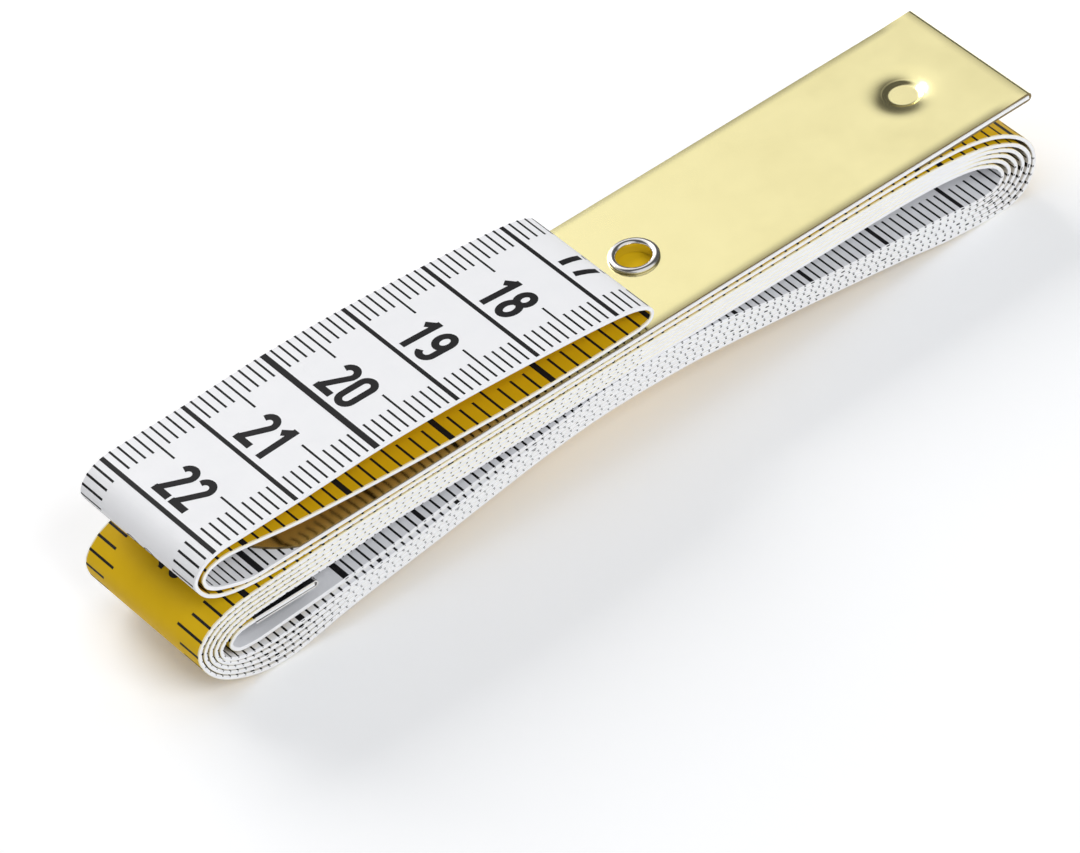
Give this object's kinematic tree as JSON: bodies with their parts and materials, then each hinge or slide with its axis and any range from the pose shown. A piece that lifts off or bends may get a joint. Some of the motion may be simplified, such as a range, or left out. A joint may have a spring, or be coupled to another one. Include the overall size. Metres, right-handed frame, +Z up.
{
  "type": "cloth tape measure",
  "caption": "Tailor's coated cloth tape measure, wound into a flat roll with a folded loop and a stiff brass end plate with an eyelet on top.",
  "frame": {"origin": "middle of the footprint, on the table that the roll lies on", "axes": "+X along the roll towards the brass plate's free end, +Y across the tape, +Z up"},
  "size_m": [0.1083, 0.019, 0.0189],
  "materials": {
    "white_coat": "satin white vinyl coat with black printed centimetre marks",
    "yellow_coat": "satin mustard yellow vinyl coat with black printed inch marks",
    "cloth": "plain woven glass-fibre or cotton ribbon",
    "tape_pack": "cut edges of the packed turns",
    "brass": "polished pale brass sheet",
    "nickel": "bright nickel plate"
  },
  "bodies": {
    "roll": {"outer_turn_white_coat": "white_coat", "outer_turn_cloth": "cloth", "outer_turn_yellow_coat": "yellow_coat", "packed_turns": "tape_pack", "inner_turn_white_coat": "white_coat", "inner_turn_cloth": "cloth", "inner_turn_yellow_coat": "yellow_coat", "tail_clip": "nickel"},
    "loop": {"loop_white_coat": "white_coat", "loop_cloth": "cloth", "loop_yellow_coat": "yellow_coat"},
    "plate_end": {"end_strip_white_coat": "white_coat", "end_strip_cloth": "cloth", "end_strip_yellow_coat": "yellow_coat", "end_plate": "brass", "eyelet": "nickel"}
  },
  "joints": [
    {"name": "loop_fold", "type": "hinge", "parent": "roll", "child": "loop", "pos_m": [-0.05295, 0, 0.01555], "axis": [0, -1, 0], "range_deg": [0, 100]},
    {"name": "plate_fold", "type": "hinge", "parent": "loop", "child": "plate_end", "pos_m": [-0.05204, 0, 0.01555], "axis": [0, -1, 0], "range_deg": [-50, 0]}
  ],
  "couplings": [
    {"joint": "plate_fold", "follows": "loop_fold", "ratio": -0.5}
  ]
}
